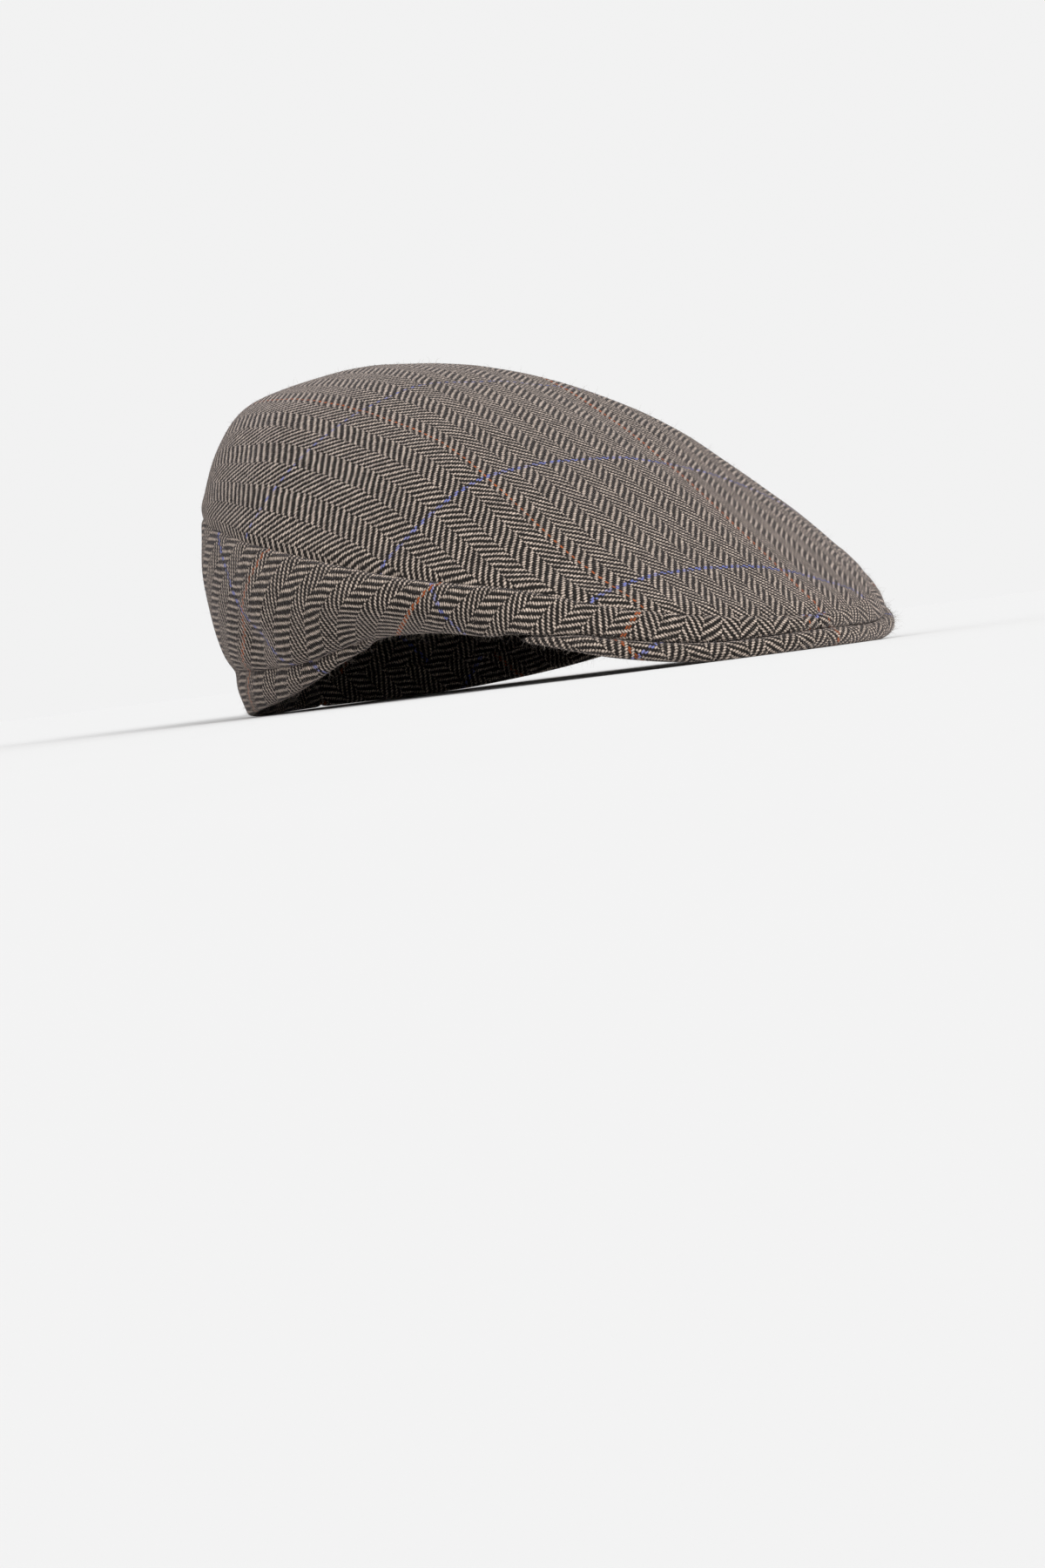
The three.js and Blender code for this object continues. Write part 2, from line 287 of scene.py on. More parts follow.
# Lays yarns over a curved piece: each place gets its distance along the warp and the weft, so
# that the weave keeps its size and follows the two given directions as well as the form lets it.
def layGrain(points, warp, weft, start, rounds=500):
    lean = (warp * weft).sum(-1, keepdims=True)
    acrossWeft = (warp - weft * lean) / (1 - lean * lean)
    acrossWarp = (weft - warp * lean) / (1 - lean * lean)
    every, front, rear = slice(None), slice(0, -1), slice(1, None)
    links = []
    for a, b in (((front, every), (rear, every)), ((every, front), (every, rear)),
                 ((front, front), (rear, rear)), ((front, rear), (rear, front))):
        step = points[b] - points[a]
        wanted = np.stack([(step * (way[a] + way[b])).sum(-1) / 2 for way in (acrossWarp, acrossWeft)], -1)
        weight = 1 / np.maximum((step * step).sum(-1), 4e-8)[..., None]
        links.append((a, b, wanted, weight))

    def gathered(differences):
        total = np.zeros(points.shape[:2] + (2,))
        for (a, b, _, weight), difference in zip(links, differences):
            total[b] += difference * weight
            total[a] -= difference * weight
        return total

    def pulls(values):
        return gathered([values[b] - values[a] for a, b, _, _ in links])

    own = np.zeros(points.shape[:2] + (1,))
    for a, b, _, weight in links:
        own[a] += weight
        own[b] += weight
    place = start.copy()
    rest = gathered([wanted for _, _, wanted, _ in links]) - pulls(place)
    eased = rest / own
    move = eased.copy()
    energy = (rest * eased).sum((0, 1))
    for _ in range(rounds):
        pulled = pulls(move)
        length = energy / (move * pulled).sum((0, 1))
        place += move * length
        rest -= pulled * length
        eased = rest / own
        fresh = (rest * eased).sum((0, 1))
        move = eased + move * (fresh / energy)
        energy = fresh
    return place


def heading(ahead, down, degrees):
    turn = np.radians(degrees)[..., None]
    return ahead * np.cos(turn) + down * np.sin(turn)


def unit(vectors):
    return vectors / np.maximum(np.linalg.norm(vectors, axis=-1, keepdims=True), 1e-12)


# Top panel: concentric squares wrapped onto the crown, so no point is a pole.
topPanel = {
    "cells": 160,
    "wall": 0.0014,
    "seamDip": 0.0008,
    "seamWidth": 0.0013,
    "seamStep": 0.03,
    "swell": 0.0004,  # the cloth stands up a little beside the seam
    "swellFrom": 0.0045,
    "swellWidth": 0.003,
    "waves": [
        {"seed": 3.1, "size": 0.045, "depth": 0.0009},
        {"seed": 7.7, "size": 0.016, "depth": 0.0003},
    ],
    "waveFade": 0.008,
    # degrees that the yarns lean: in the middle, more by the left seam, and more on the far side
    "warpLean": (4.0, 29.0, 4.0),
    "weftLean": (17.0, 11.0, -8.0),
    # where these places start, and how softly
    "seamRing": (0.55, 0.33),
    "seamFront": (0.2, 0.22),
    "seamBack": 0.2,
    "seamLeft": 0.02,
    "farSide": (-0.055, 0.07),
    "farFront": (-0.11, 0.05),
}


# both sides of the seam sink along the same line, so that the seam stays closed
def seamWay(station):
    return unit(outwardAt(station) + [0.0, 0.0, 1.0])


def stepFrom(values, place):
    start, soft = place
    return smoothStep((values - start) / soft)


def squarePlaces(count):
    steps = np.linspace(-1, 1, count)
    a, b = np.meshgrid(steps, steps, indexing="ij")
    ring = np.maximum(np.abs(a), np.abs(b))
    safe = np.maximum(ring, 1e-9)
    front, rear = 0.25 * np.abs(a) / safe, 1 - 0.25 * np.abs(a) / safe
    station = np.where(np.abs(a) > np.abs(b), 0.5 + 0.25 * b / safe, np.where(b < 0, front, rear))
    return station, ring, np.where(a < 0, -1.0, 1.0)


def makeTopPanel():
    count = topPanel["cells"] + 1
    station, ring, sign = squarePlaces(count)
    points = crownPlace(station, ring)
    points[..., 0] *= sign
    normal = gridNormals(points)
    if normal[count // 2, count // 2, 2] < 0:
        normal = -normal
    back = unit([0.0, 1.0, 0.0] - normal * normal[..., 1:2])
    right = np.cross(normal, back)
    # where the weave turns to follow the left seam, and where it lies on the far side
    bySeam = stepFrom(ring, topPanel["seamRing"]) * stepFrom(station, topPanel["seamFront"])
    bySeam = bySeam * smoothStep((1 - station) / topPanel["seamBack"])
    bySeam = bySeam * smoothStep(-points[..., 0] / topPanel["seamLeft"])
    farSide = stepFrom(points[..., 0], topPanel["farSide"]) * stepFrom(points[..., 1], topPanel["farFront"])
    warpLean, weftLean = (
        middle + more * bySeam + far * farSide
        for middle, more, far in (topPanel["warpLean"], topPanel["weftLean"])
    )
    warp, weft = heading(back, right, -warpLean), -heading(back, right, 90 - weftLean)
    uvs = layGrain(points, warp, weft, points[..., :2])
    uvs -= uvs[count // 2, count // 2]
    nearSeam = crownPlace(station, np.full(station.shape, 1 - topPanel["seamStep"]))
    perRing = np.linalg.norm(pointOf(seamRows, station) - nearSeam, axis=-1) / topPanel["seamStep"]
    fromSeam = (1 - ring) * perRing
    dip = topPanel["seamDip"] * np.exp(-(fromSeam / topPanel["seamWidth"]) ** 2)
    swell = topPanel["swell"] * np.exp(-((fromSeam - topPanel["swellFrom"]) / topPanel["swellWidth"]) ** 2)
    inside = smoothStep(fromSeam / topPanel["waveFade"])
    waves = allWaves(points, topPanel["waves"])
    sink = seamWay(station) * np.stack([sign, np.ones_like(sign), np.ones_like(sign)], -1)
    points = points + normal * (swell + waves * inside)[..., None] - sink * dip[..., None]
    points[..., 1] += formShift
    piece = clothGrid("topPanelCloth", points, uvs, (0, 0.05, 0))
    thicken(piece, topPanel["wall"])
    return piece, points, normal


# Side panels: the wall down from the seam, the fold at the back, and the edge turned in. hem is the
# turned edge, and flap is what lies inside it.
sidePanel = {
    "stations": 300,
    "wallRows": 72,
    "hemRows": 9,
    "flapRows": 7,
    "wall": 0.0013,
    "hemRound": 0.0019,
    "frontRound": 0.0014,
    "flap": 0.009,
    "frontFlap": 0.002,
    "endStep": 0.0015,
    "seamDip": 0.0008,
    "seamWidth": 0.0013,
    "seamGap": 0.00002,
    "waves": [
        {"seed": 5.3, "size": 0.03, "depth": 0.0007},
        {"seed": 9.1, "size": 0.012, "depth": 0.0003},
    ],
    "waveFade": 0.008,
    "middleFade": 0.01,
}
# the directions of the columns and of the weft across them, in degrees down from the way back
sideGrain = {
    "station": [0.0, 0.1, 0.16, 0.3, 0.4, 0.5, 0.6, 0.7, 0.85, 1.0],
    "warp": [90.0, 88.0, 64.0, 61.0, 51.0, 43.0, 42.0, 46.0, 50.0, 55.0],
    "weft": [160.0, 170.0, 150.0, 140.0, 118.0, 114.0, 126.0, 123.0, 131.0, 145.0],
}


def alongLine(distance, run, line):
    return np.stack([np.interp(distance, run, line[:, k]) for k in range(3)], -1)


def sidePanelPoints():
    stations = np.linspace(0, 1, sidePanel["stations"] + 1)
    downs = np.linspace(0, 1, 161)
    fine = crownPlace(stations[:, None] + 0 * downs, 1 + downs + 0 * stations[:, None])
    isRim = smoothStep((stations - capForm["hornStation"]) / capForm["hornTaper"])
    out = outwardAt(stations)
    points, dists, heights = [], [], []
    for i in range(len(stations)):
        line = fine[i]
        run = np.concatenate([[0], np.cumsum(np.linalg.norm(np.diff(line, axis=0), axis=-1))])
        bend = sidePanel["frontRound"] + (sidePanel["hemRound"] - sidePanel["frontRound"]) * isRim[i]
        flap = sidePanel["frontFlap"] + (sidePanel["flap"] - sidePanel["frontFlap"]) * isRim[i]
        end = run[-1] - bend
        wallD = np.linspace(sidePanel["seamGap"], end, sidePanel["wallRows"])
        wall = alongLine(wallD, run, line)
        tangent = unit(alongLine(end, run, line) - alongLine(end - sidePanel["endStep"], run, line))
        inward = unit(-out[i] - tangent * np.dot(-out[i], tangent))
        centre = wall[-1] + inward * bend
        turn = np.linspace(0, np.pi, sidePanel["hemRows"] + 1)[1:, None]
        hem = centre - inward * bend * np.cos(turn) + tangent * bend * np.sin(turn)
        flapD = np.linspace(0, flap, sidePanel["flapRows"] + 1)[1:]
        back = alongLine(end - flapD, run, line) + inward * 2 * bend
        points.append(np.concatenate([wall, hem, back]))
        hemD = end + bend * turn[:, 0]
        dists.append(np.concatenate([wallD, hemD, hemD[-1] + flapD]))
        heights.append(run[-1])
    return stations, np.array(points), np.array(dists), np.array(heights)


# the inner skin meets the other panel's in the middle too, so the seams there let no light through
def closeMiddle(piece):
    vertices = piece.data.vertices
    outer = len(vertices) // 2
    for k in range(outer):
        if abs(vertices[k].co.x) < 2 * sidePanel["seamGap"]:
            vertices[outer + k].co.x = vertices[k].co.x
    piece.data.update()


def makeSidePanels():
    stations, points, dists, heights = sidePanelPoints()
    seamRun = np.concatenate([[0], np.cumsum(np.linalg.norm(np.diff(points[:, 0], axis=0), axis=-1))])
    ahead = unit(np.gradient(points, axis=0))
    down = np.gradient(points, axis=1)
    down = unit(down - ahead * (down * ahead).sum(-1, keepdims=True))
    warp, weft = (
        heading(ahead, down, np.interp(stations, sideGrain["station"], sideGrain[key])[:, None] + 0 * dists)
        for key in ("warp", "weft")
    )
    start = np.stack([-seamRun[:, None] + 0 * dists, dists], -1)
    uvs = layGrain(points, warp, weft, start, 900)
    normal = gridNormals(points)
    if normal[len(stations) // 2, 5, 0] < 0:
        normal = -normal
    dip = sidePanel["seamDip"] * np.exp(-(dists / sidePanel["seamWidth"]) ** 2)
    fromMiddle = np.abs(points[..., 0])
    closing = sidePanel["seamDip"] * np.exp(-(fromMiddle / sidePanel["seamWidth"]) ** 2)
    closing = np.maximum(closing - dip, 0)
    fade = sidePanel["waveFade"]
    inside = smoothStep(dists / fade) * smoothStep((heights[:, None] - dists) / fade)
    inside = inside * smoothStep(fromMiddle / sidePanel["middleFade"])
    waves = allWaves(points, sidePanel["waves"])
    sink = seamWay(stations)[:, None] * dip[..., None]
    points = points + normal * (waves * inside - closing)[..., None] - sink
    points[..., 0] = np.maximum(points[..., 0], sidePanel["seamGap"])
    points[..., 2] = np.maximum(points[..., 2], 0)
    points[..., 1] += formShift
    pieces = []
    for name, side in (("sidePanelLeftCloth", 1), ("sidePanelRightCloth", -1)):
        placed = points * [side, 1, 1]
        piece = clothGrid(name, placed, uvs, (0, 0, 0.03))
        pieces.append(piece)
        thicken(piece, sidePanel["wall"])
        closeMiddle(piece)
    return pieces, points, normal


# The peak: one closed cover, round along its edge. Its rows crowd towards the edge, and its ends
# taper to a point.
peak = {
    "stations": 220,
    "faceRows": 26,
    "crowding": 2.2,
    "endTaper": 0.03,
    "mergeWithin": 0.00002,
}


def makePeak():
    half = capForm["hornStation"]
    steps = np.linspace(-1, 1, peak["stations"] + 1)
    station = np.abs(steps) * half
    reach = peakReach(station)
    share = np.linspace(0, 1, peak["faceRows"]) ** peak["crowding"]
    ends = np.sqrt(np.clip((1 - np.abs(steps)) / peak["endTaper"], 0, 1))
    rows = []
    for face, order in ((1, share[::-1]), (-1, share[1:])):
        for part in order:
            inwards = reach * part
            edge = peakPlace(station, inwards, 0)
            place = peakPlace(station, inwards, face)
            rows.append(edge + (place - edge) * ends[:, None])
    rows.append(rows[0])
    points = np.stack(rows, 1)
    points[..., 0] *= np.sign(steps)[:, None]
    lengths = np.linalg.norm(np.diff(points, axis=1), axis=-1)
    run = np.concatenate([np.zeros((len(steps), 1)), np.cumsum(lengths, axis=1)], 1)
    run -= run[:, peak["faceRows"] - 1][:, None]
    out = outwardAt(station)[:, :2] * np.stack([np.sign(steps), np.ones(len(steps))], -1)
    uvs = points[:, peak["faceRows"] - 1, None, :2] + out[:, None] * run[..., None]
    points[..., 1] += formShift
    piece = clothGrid("peakCloth", points, uvs, (0, -0.09, 0.006))
    deselectAll()
    piece.select_set(True)
    bpy.context.view_layer.objects.active = piece
    bpy.ops.object.mode_set(mode="EDIT")
    bpy.ops.mesh.select_all(action="SELECT")
    bpy.ops.mesh.remove_doubles(threshold=peak["mergeWithin"])
    bpy.ops.mesh.normals_make_consistent(inside=False)
    bpy.ops.object.mode_set(mode="OBJECT")
    bpy.ops.object.shade_smooth_by_angle(angle=math.radians(60))
    return piece, points


# The tweed: a herringbone of cream weft over near-black warp, with thin rust and blue check lines.
# Sizes are in metres, and colours are linear.
tweed = {
    "yarn": 0.00076,
    "columnYarns": 9.0,
    "ragged": 1.05,  # how far the yarns' edges wander, in yarns
    "wander": 0.0014,  # how far whole yarns drift, in metres
    # how fine each unevenness is
    "driftScale": 110.0,
    "swayScale": 95.0,
    "raggedScale": 1150.0,
    "fibreScale": 3800.0,
    "fadingScale": 160.0,
    "napScale": 1500.0,
    "rustYarns": 1.9,
    "blueYarns": 1.8,
    "cream": (0.73, 0.60, 0.505, 1),
    "charcoal": (0.0065, 0.0058, 0.0056, 1),
    "rust": (0.46, 0.11, 0.03, 1),
    "blue": (0.12, 0.17, 0.58, 1),
    "nap": (0.17, 0.152, 0.138, 1),
    "bump": 0.0004,
    "bumpStrength": 0.75,
    "sheen": 0.38,
    "sheenRoughness": 0.2,
    "sheenTint": (0.90, 0.80, 0.81, 1),
}


# where the check's coloured lines run on each panel, in metres of cloth
checkLines = {
    "top": {"Rust Every": 0.082, "Rust At": -0.087, "Blue Every": 0.067, "Blue At": -0.1625},
    "side": {"Rust Every": 0.066, "Rust At": -0.176, "Blue Every": 0.077, "Blue At": 0.0015},
    "peak": {"Rust Every": 0.0765, "Rust At": -0.1085, "Blue Every": 0.068, "Blue At": -0.1349},
}


class Wiring:
    def __init__(self, tree):
        self.tree = tree

    def put(self, kind, **values):
        node = self.tree.nodes.new(kind)
        for name, value in values.items():
            setattr(node, name, value)
        return node

    def join(self, source, target):
        self.tree.links.new(source, target)

    def math(self, kind, first, second=None, clamp=False):
        node = self.put("ShaderNodeMath", operation=kind, use_clamp=clamp)
        for socket, value in zip(node.inputs, (first, second)):
            if value is None:
                continue
            if isinstance(value, (int, float)):
                socket.default_value = value
            else:
                self.join(value, socket)
        return node.outputs[0]

    def mix(self, share, first, second):
        node = self.put("ShaderNodeMix", data_type="RGBA")
        for socket, value in ((node.inputs[0], share), (node.inputs[6], first), (node.inputs[7], second)):
            if isinstance(value, (int, float, tuple)):
                socket.default_value = value
            else:
                self.join(value, socket)
        return node.outputs[2]

    def noise(self, vector, scale, detail):
        node = self.put("ShaderNodeTexNoise")
        node.inputs["Scale"].default_value = scale
        node.inputs["Detail"].default_value = detail
        self.join(vector, node.inputs["Vector"])
        return node.outputs["Fac"]

    def centred(self, value, size):
        return self.math("MULTIPLY", self.math("SUBTRACT", value, 0.5), size)

    def weighted(self, *parts):
        total = None
        for value, share in parts:
            part = self.math("MULTIPLY", value, share)
            total = part if total is None else self.math("ADD", total, part)
        return total

    def vector(self, x, y, z=0.0):
        node = self.put("ShaderNodeCombineXYZ")
        for socket, value in zip(node.inputs, (x, y, z)):
            if isinstance(value, (int, float)):
                socket.default_value = value
            else:
                self.join(value, socket)
        return node.outputs[0]


def tweedGroup():
    group = bpy.data.node_groups.new("herringboneTweed", "ShaderNodeTree")
    face = group.interface
    face.new_socket("Cloth", in_out="INPUT", socket_type="NodeSocketVector")
    sizes = [("Yarn", tweed["yarn"]), ("Column Yarns", tweed["columnYarns"])]
    sizes += checkLines["top"].items()
    for name, value in sizes:
        face.new_socket(name, in_out="INPUT", socket_type="NodeSocketFloat").default_value = value
    for name in ("Cream", "Charcoal", "Rust", "Blue"):
        colour = face.new_socket(name, in_out="INPUT", socket_type="NodeSocketColor")
        colour.default_value = tweed[name.lower()]
    face.new_socket("Color", in_out="OUTPUT", socket_type="NodeSocketColor")
    face.new_socket("Height", in_out="OUTPUT", socket_type="NodeSocketFloat")
    face.new_socket("Roughness", in_out="OUTPUT", socket_type="NodeSocketFloat")

    w = Wiring(group)
    given = w.put("NodeGroupInput").outputs
    result = w.put("NodeGroupOutput").inputs
    split = w.put("ShaderNodeSeparateXYZ")
    w.join(given["Cloth"], split.inputs[0])
    # the yarns wander a little
    drift = w.centred(w.noise(given["Cloth"], tweed["driftScale"], 4.0), tweed["wander"])
    swing = w.vector(split.outputs[1], split.outputs[0], 0.37)
    sway = w.centred(w.noise(swing, tweed["swayScale"], 4.0), tweed["wander"])
    u = w.math("DIVIDE", w.math("ADD", split.outputs[0], drift), given["Yarn"])
    v = w.math("DIVIDE", w.math("ADD", split.outputs[1], sway), given["Yarn"])
    u = w.math("ADD", u, w.centred(w.noise(given["Cloth"], tweed["raggedScale"], 3.0), tweed["ragged"]))
    v = w.math("ADD", v, w.centred(w.noise(swing, tweed["raggedScale"], 3.0), tweed["ragged"]))
    warp, weft = w.math("FLOOR", u), w.math("FLOOR", v)
    inWarp, inWeft = w.math("FRACT", u), w.math("FRACT", v)
    column = w.math("FLOOR", w.math("DIVIDE", w.math("ADD", warp, 0.5), given["Column Yarns"]))
    odd = w.math("GREATER_THAN", w.math("FRACT", w.math("MULTIPLY", column, 0.5)), 0.25)
    local = w.math("SUBTRACT", warp, w.math("MULTIPLY", column, given["Column Yarns"]))
    way = w.math("SUBTRACT", 1.0, w.math("MULTIPLY", odd, 2.0))
    turnBack = w.math("MULTIPLY", odd, w.math("ADD", given["Column Yarns"], 1.0))
    slant = w.math("ADD", w.math("ADD", weft, w.math("MULTIPLY", local, way)), turnBack)
    phase = w.math("FRACT", w.math("ADD", w.math("MULTIPLY", slant, 0.25), 0.01))
    quarter = w.math("FLOOR", w.math("MULTIPLY", phase, 4.0))
    weftUp = w.math("LESS_THAN", quarter, 1.5)

    # how far along its float and across its yarn a point lies
    back = w.math("MULTIPLY", odd, w.math("SUBTRACT", 1.0, w.math("MULTIPLY", quarter, 2.0)))
    alongWeft = w.math("MULTIPLY", w.math("ADD", w.math("ADD", quarter, back), inWarp), 0.5)
    alongWarp = w.math("MULTIPLY", w.math("ADD", w.math("SUBTRACT", quarter, 2.0), inWeft), 0.5)

    def dome(x, power):
        away = w.math("ABSOLUTE", w.math("SUBTRACT", w.math("MULTIPLY", x, 2.0), 1.0))
        return w.math("SUBTRACT", 1.0, w.math("POWER", away, power), True)

    weftHeight = w.math("MULTIPLY", dome(inWeft, 1.6), dome(alongWeft, 2.2))
    warpHeight = w.math("MULTIPLY", dome(inWarp, 2.2), dome(alongWarp, 3.0))
    weftPart = w.math("MULTIPLY", weftHeight, weftUp)
    warpPart = w.math("MULTIPLY", warpHeight, w.math("SUBTRACT", 1.0, weftUp))
    height = w.math("ADD", weftPart, w.math("MULTIPLY", warpPart, 0.8))

    # each yarn has its own tone, and slubs along it
    weftTone = w.put("ShaderNodeTexWhiteNoise", noise_dimensions="1D")
    w.join(weft, weftTone.inputs["W"])
    # and so does each stroke of it
    stroke = w.put("ShaderNodeTexWhiteNoise", noise_dimensions="3D")
    strokeNumber = w.math("FLOOR", w.math("MULTIPLY", slant, 0.25))
    w.join(w.vector(weft, strokeNumber, column), stroke.inputs["Vector"])
    warpTone = w.put("ShaderNodeTexWhiteNoise", noise_dimensions="1D")
    w.join(w.math("ADD", warp, 311.7), warpTone.inputs["W"])
    weftSlub = w.noise(w.vector(w.math("MULTIPLY", u, 0.4), w.math("MULTIPLY", weft, 7.3), 1.7), 1.0, 3.0)
    warpSlub = w.noise(w.vector(w.math("MULTIPLY", v, 0.22), w.math("MULTIPLY", warp, 5.9), 8.1), 1.0, 3.0)
    fibre = w.noise(given["Cloth"], tweed["fibreScale"], 2.0)
    weftToneAndPaintedShade = w.weighted(
        (weftTone.outputs[0], 0.18), (weftSlub, 0.65), (stroke.outputs[0], 0.5), (fibre, 0.5)
    )
    # each weft stroke fades to charcoal towards its edges by its height: painted shade in the gaps between
    # the strokes
    weftToneAndPaintedShade = w.math("MULTIPLY", weftToneAndPaintedShade, w.math("ADD", w.math("MULTIPLY", weftHeight, 0.95), 0.05))
    cream = w.mix(weftToneAndPaintedShade, given["Charcoal"], given["Cream"])
    warpShade = w.weighted((warpTone.outputs[0], 0.5), (warpSlub, 0.9))
    warpShade = w.math("ADD", w.math("MULTIPLY", warpShade, 0.012), w.math("MULTIPLY", fibre, 0.008), True)
    dark = w.mix(warpShade, given["Charcoal"], given["Cream"])

    def line(place, every, at, yarns):
        share = w.math("FRACT", w.math("DIVIDE", w.math("SUBTRACT", place, at), every))
        away = w.math("ABSOLUTE", w.math("SUBTRACT", share, 0.5))
        near = w.math("MULTIPLY", away, every)
        return w.math("LESS_THAN", near, w.math("MULTIPLY", given["Yarn"], yarns / 2))

    warpPlace = w.math("MULTIPLY", w.math("ADD", warp, 0.5), given["Yarn"])
    weftPlace = w.math("MULTIPLY", w.math("ADD", weft, 0.5), given["Yarn"])
    rustLine = line(warpPlace, given["Rust Every"], given["Rust At"], tweed["rustYarns"])
    blueLine = line(weftPlace, given["Blue Every"], given["Blue At"], tweed["blueYarns"])
    # the thin threads sink in and out of the nap
    fading = w.noise(given["Cloth"], tweed["fadingScale"], 2.0)
    fading = w.math("MULTIPLY", w.math("SUBTRACT", fading, 0.1), 2.2, True)
    # the rust and blue threads fade to dark towards their yarns' edges by height, which is painted shade
    # between the yarns, mixed with the fibres' own tone
    rustFibreAndPaintedShade = w.math("ADD", w.math("MULTIPLY", warpHeight, 0.8), w.math("MULTIPLY", fibre, 0.3), True)
    rustShare = w.math("MULTIPLY", w.math("MULTIPLY", rustLine, rustFibreAndPaintedShade), fading)
    rust = w.mix(rustShare, dark, given["Rust"])
    blueFibreAndPaintedShade = w.math("ADD", w.math("MULTIPLY", weftHeight, 0.9), w.math("MULTIPLY", fibre, 0.3), True)
    blueShare = w.math("MULTIPLY", w.math("MULTIPLY", blueLine, blueFibreAndPaintedShade), fading)
    blue = w.mix(blueShare, cream, given["Blue"])
    woven = w.mix(weftUp, rust, blue)
    # loose fibres of both colours blur the weave
    nap = w.noise(given["Cloth"], tweed["napScale"], 4.0)
    napShare = w.math("MULTIPLY", w.math("SUBTRACT", nap, 0.48, True), 0.35, True)
    colour = w.mix(napShare, woven, tweed["nap"])
    w.join(colour, result["Color"])
    w.join(w.math("ADD", height, w.math("MULTIPLY", nap, 0.5)), result["Height"])
    w.join(w.math("ADD", w.math("MULTIPLY", nap, 0.14), 0.8), result["Roughness"])
    return group


def tweedMaterial(name, group, values):
    material = bpy.data.materials.new(name)
    material.use_nodes = True
    w = Wiring(material.node_tree)
    shader = material.node_tree.nodes["Principled BSDF"]
    cloth = w.put("ShaderNodeUVMap", uv_map="clothUV")
    weave = w.put("ShaderNodeGroup", node_tree=group)
    w.join(cloth.outputs[0], weave.inputs["Cloth"])
    for key, value in values.items():
        weave.inputs[key].default_value = value
    bump = w.put("ShaderNodeBump")
    bump.inputs["Strength"].default_value = tweed["bumpStrength"]
    bump.inputs["Distance"].default_value = tweed["bump"]
    w.join(weave.outputs["Height"], bump.inputs["Height"])
    w.join(weave.outputs["Color"], shader.inputs["Base Color"])
    w.join(weave.outputs["Roughness"], shader.inputs["Roughness"])
    w.join(bump.outputs[0], shader.inputs["Normal"])
    shader.inputs["Specular IOR Level"].default_value = 0.1
    shader.inputs["Sheen Weight"].default_value = tweed["sheen"]
    shader.inputs["Sheen Roughness"].default_value = tweed["sheenRoughness"]
    shader.inputs["Sheen Tint"].default_value = tweed["sheenTint"]
    return material


# Loose hairs: thin bent ribbons that stand off the cloth.
fuzz = {
    "overAll": 13000,
    "alongEdges": 3000,
    "width": 0.00006,
    "shortest": 0.0006,
    "longest": 0.0038,
    "mostlyShort": 5,
    "edgeLonger": 1.35,
    "curl": 0.55,
    "taper": 3.4,
    "lowTip": 0.0006,
    "lowest": 0.0002,
    "dark": (0.10, 0.09, 0.085, 1),
    "pale": (0.46, 0.40, 0.35, 1),
    "seed": 41,
}


def addHair(rng, root, lean, length, width, vertices, faces):
    first = len(vertices)
    side = lean.cross(Vector((rng.uniform(-1, 1), rng.uniform(-1, 1), rng.uniform(-1, 1)))).normalized()
    curl = Vector((rng.uniform(-1, 1), rng.uniform(-1, 1), rng.uniform(-1.2, 0.6))) * fuzz["curl"]
    place, way = root.copy(), lean.copy()
    for k in range(4):
        half = width * (1 - k / fuzz["taper"]) / 2
        vertices.append(place + side * half)
        vertices.append(place - side * half)
        place = place + way * length / 3
        way = (way + curl).normalized()
    for k in range(3):
        a = first + 2 * k
        faces.append((a, a + 1, a + 3, a + 2))


def makeFuzz(grids):
    rng = random.Random(fuzz["seed"])
    vertices, faces = [], []
    weights = [g["count"] for g in grids]
    for grid in grids:
        share = grid["count"] / sum(weights)
        total = int((fuzz["overAll"] + fuzz["alongEdges"]) * share)
        for _ in range(total):
            nearEdge = rng.random() < grid["edgeShare"]
            i = rng.randrange(1, grid["points"].shape[0] - 1)
            j = rng.choice(grid["edges"]) if nearEdge else rng.randrange(1, grid["outerRows"])
            sign = rng.choice(grid["signs"])
            point = Vector(grid["points"][i, j])
            normal = Vector(grid["normals"][i, j])
            wander = Vector((rng.gauss(0, 1), rng.gauss(0, 1), rng.gauss(0, 0.7)))
            lean = (normal * rng.uniform(0.35, 1.1) + wander * 0.6).normalized()
            if lean.dot(normal) < 0.12:
                lean = (lean + normal * (0.3 - lean.dot(normal))).normalized()
            point.x *= sign
            lean.x *= sign
            span = fuzz["longest"] - fuzz["shortest"]
            length = fuzz["shortest"] + span * rng.random() ** fuzz["mostlyShort"]
            if nearEdge:
                length *= fuzz["edgeLonger"]
            if point.z + lean.z * length < fuzz["lowTip"]:
                lean = Vector((lean.x, lean.y, abs(lean.z) * 0.3)).normalized()
            addHair(rng, point, lean, length, fuzz["width"], vertices, faces)
    vertices = [Vector((p.x, p.y, max(p.z, fuzz["lowest"]))) for p in vertices]
    mesh = bpy.data.meshes.new("looseHairs")
    mesh.from_pydata(vertices, [], faces)
    piece = bpy.data.objects.new("looseHairs", mesh)
    bpy.context.scene.collection.objects.link(piece)
    return piece


def hairMaterial():
    material = bpy.data.materials.new("wool hair")
    material.use_nodes = True
    w = Wiring(material.node_tree)
    shader = material.node_tree.nodes["Principled BSDF"]
    place = w.put("ShaderNodeTexCoord")
    spot = w.noise(place.outputs["Object"], 420.0, 1.0)
    share = w.math("MULTIPLY", w.math("SUBTRACT", spot, 0.4), 5.0, True)
    w.join(w.mix(share, fuzz["dark"], fuzz["pale"]), shader.inputs["Base Color"])
    shader.inputs["Roughness"].default_value = 0.7
    shader.inputs["Specular IOR Level"].default_value = 0.2
    return material


print("making the cloth")
topPiece, topPoints, topNormals = makeTopPanel()
sidePieces, sidePoints, sideNormals = makeSidePanels()
peakPiece, peakPoints = makePeak()

